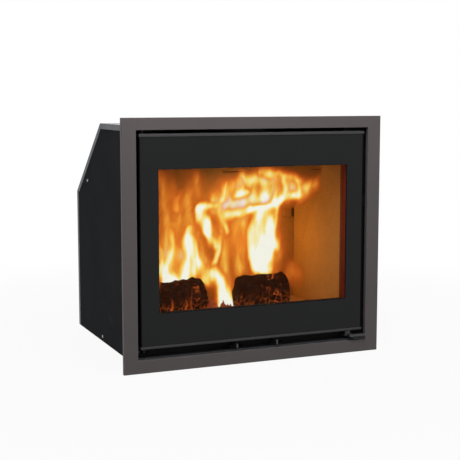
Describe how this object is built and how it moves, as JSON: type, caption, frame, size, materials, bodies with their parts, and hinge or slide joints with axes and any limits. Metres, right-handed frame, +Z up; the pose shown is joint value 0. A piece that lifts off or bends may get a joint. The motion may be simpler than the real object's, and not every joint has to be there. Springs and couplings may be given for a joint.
{
  "type": "fireplace insert",
  "caption": "Built-in wood fireplace insert with a glazed hinged door, lined firebox, trim frame and a sheet casing with a sloped back.",
  "frame": {"origin": "centre of the casing base's underside, on the niche floor", "axes": "+X to the right seen from the room, +Y into the wall, +Z up"},
  "size_m": [0.69, 0.476, 0.61],
  "materials": {
    "trim_enamel": "satin taupe metallic paint",
    "casing_dark": "dark grey coated sheet, satin",
    "galvanised_sheet": "galvanised sheet, fine spangle",
    "firebox_steel": "black stove paint, matt",
    "door_steel": "black stove paint, matt",
    "vermiculite": "pressed ochre board, sooted",
    "cast_iron_black": "cast, matt black",
    "ceramic_glass": "clear ceramic glass with a black printed border",
    "rope_seal": "grey glass fibre",
    "zinc_steel": "zinc plated",
    "control_steel": "blackened steel",
    "bush_brass": "plain turned"
  },
  "bodies": {
    "casing": {"air_box": "firebox_steel", "air_inlet_collar": "galvanised_sheet", "air_plenum": "galvanised_sheet", "air_riser_left": "firebox_steel", "air_riser_right": "firebox_steel", "air_wash_manifold": "firebox_steel", "ash_pan": "zinc_steel", "ash_well": "firebox_steel", "baffle": "vermiculite", "base_plate": "casing_dark", "casing_screws": "zinc_steel", "deflector_rests": "firebox_steel", "firebox_back": "firebox_steel", "firebox_floor": "firebox_steel", "firebox_front": "firebox_steel", "firebox_side_left": "firebox_steel", "firebox_side_right": "firebox_steel", "firebox_top": "firebox_steel", "floor_lining_front": "vermiculite", "floor_lining_left": "vermiculite", "floor_lining_rear": "vermiculite", "floor_lining_right": "vermiculite", "flue_bolts": "zinc_steel", "flue_collar": "cast_iron_black", "front_screws": "control_steel", "grate": "cast_iron_black", "hinge_brackets": "door_steel", "hinge_washers": "control_steel", "latch_catch": "door_steel", "levelling_nuts": "zinc_steel", "levelling_screws": "zinc_steel", "log_guard": "cast_iron_black", "rear_cover": "galvanised_sheet", "rear_lining": "vermiculite", "side_lining_left": "vermiculite", "side_lining_right": "vermiculite", "side_panel_left": "casing_dark", "side_panel_right": "casing_dark", "slide_guides": "firebox_steel", "slope_cover": "galvanised_sheet", "smoke_deflector": "firebox_steel", "spacer_brackets": "galvanised_sheet", "top_cover": "galvanised_sheet", "trim_brackets": "galvanised_sheet", "trim_frame": "trim_enamel", "valve_plate": "firebox_steel"},
    "door": {"door_frame": "door_steel", "door_glass": "ceramic_glass", "door_top_rail": "trim_enamel", "door_bottom_rail": "trim_enamel", "door_rail_screws": "control_steel", "glass_gasket": "rope_seal", "door_gasket": "rope_seal", "hinge_pins": "control_steel", "lever_bush": "bush_brass"},
    "lever": {"door_lever": "control_steel", "lever_shaft": "control_steel", "latch_tongue": "control_steel"},
    "primary_slide": {"primary_air_slide": "control_steel"},
    "secondary_slide": {"secondary_air_slide": "control_steel"}
  },
  "joints": [
    {"name": "door_swing", "type": "hinge", "parent": "casing", "child": "door", "pos_m": [-0.2911, -0.2235, 0.28], "axis": [0, 0, -1], "range_deg": [0, 105]},
    {"name": "lever_turn", "type": "hinge", "parent": "door", "child": "lever", "pos_m": [0.266, -0.21975, 0.03], "axis": [0, 0, -1], "range_deg": [0, 75]},
    {"name": "primary_air_travel", "type": "slide", "parent": "casing", "child": "primary_slide", "axis": [1, 0, 0], "range_m": [-0.022, 0.022]},
    {"name": "secondary_air_travel", "type": "slide", "parent": "casing", "child": "secondary_slide", "axis": [1, 0, 0], "range_m": [-0.022, 0.022]}
  ]
}
